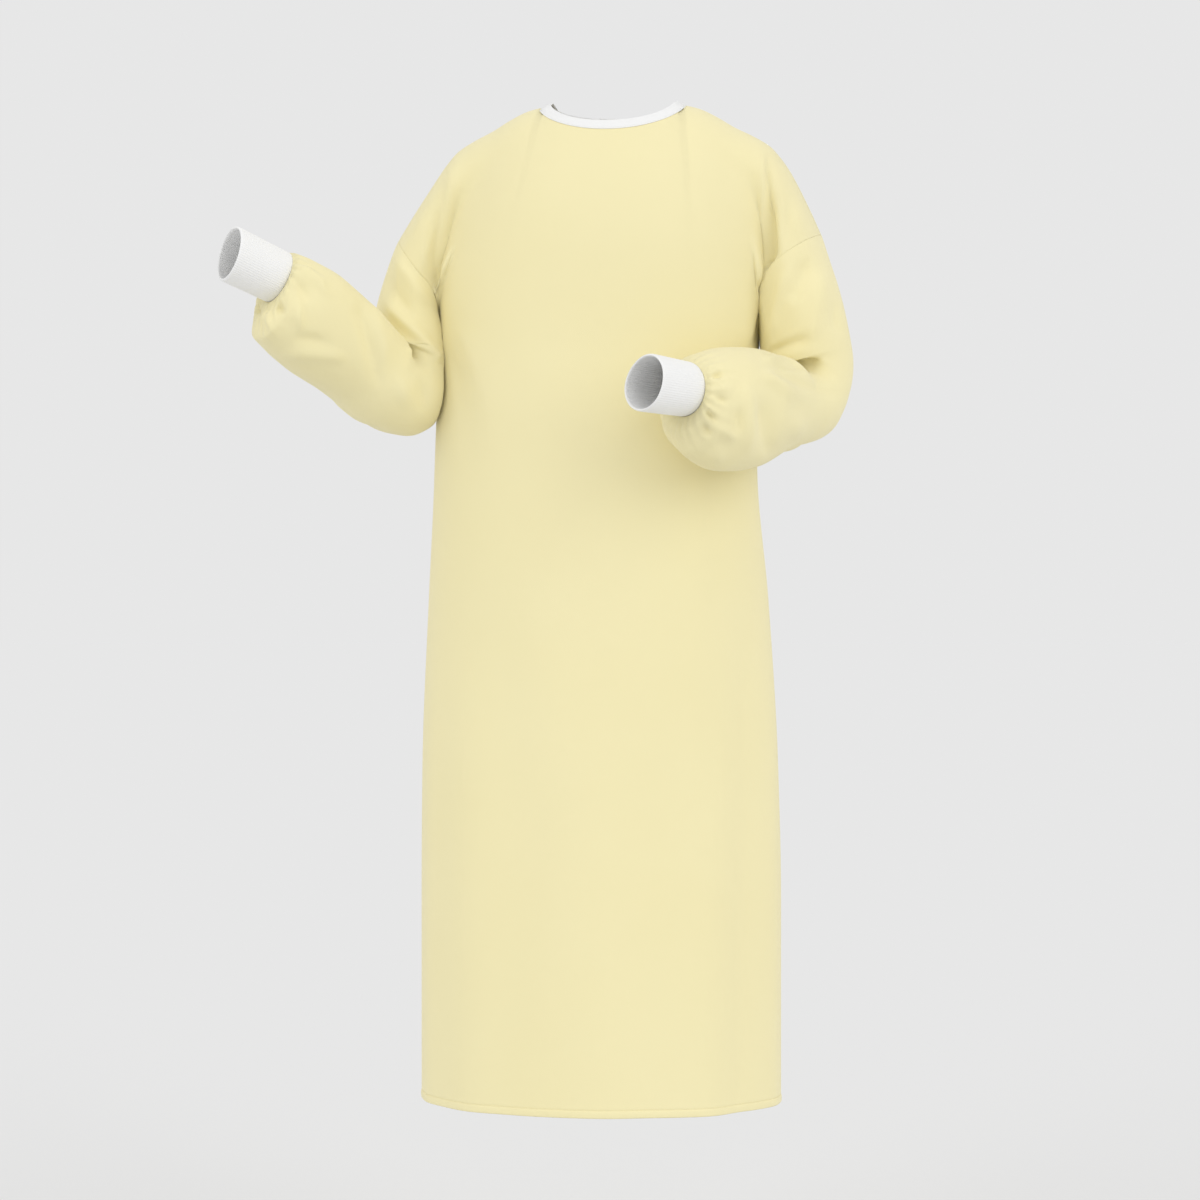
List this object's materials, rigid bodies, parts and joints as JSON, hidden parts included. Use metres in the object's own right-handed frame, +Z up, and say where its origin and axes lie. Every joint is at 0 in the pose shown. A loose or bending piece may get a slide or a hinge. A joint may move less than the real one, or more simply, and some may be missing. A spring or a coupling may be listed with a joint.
{
  "type": "isolation gown",
  "caption": "Long isolation gown that opens at the back, worn and filled out, with set-in sleeves bent at the elbow, knit cuffs, a bound neck and a knotted waist tie.",
  "frame": {"origin": "middle of the neck opening, level with the shoulders beside it, where the gown hangs on the wearer", "axes": "+Z up, -Y the way the front faces, +X the wearer's left"},
  "size_m": [0.7268, 0.4439, 1.195],
  "materials": {
    "yellow_cloth": "pale yellow plain-woven cloth, matt",
    "white_knit": "white rib-knit",
    "white_binding": "white folded binding",
    "yellow_tape": "tape of the gown's own cloth"
  },
  "bodies": {
    "root": {"front_panel": "yellow_cloth", "back_left_panel": "yellow_cloth", "back_right_panel": "yellow_cloth", "left_sleeve": "yellow_cloth", "right_sleeve": "yellow_cloth", "left_cuff": "white_knit", "right_cuff": "white_knit", "neck_binding": "white_binding", "waist_tie_left": "yellow_tape", "waist_tie_right": "yellow_tape"}
  },
  "joints": []
}
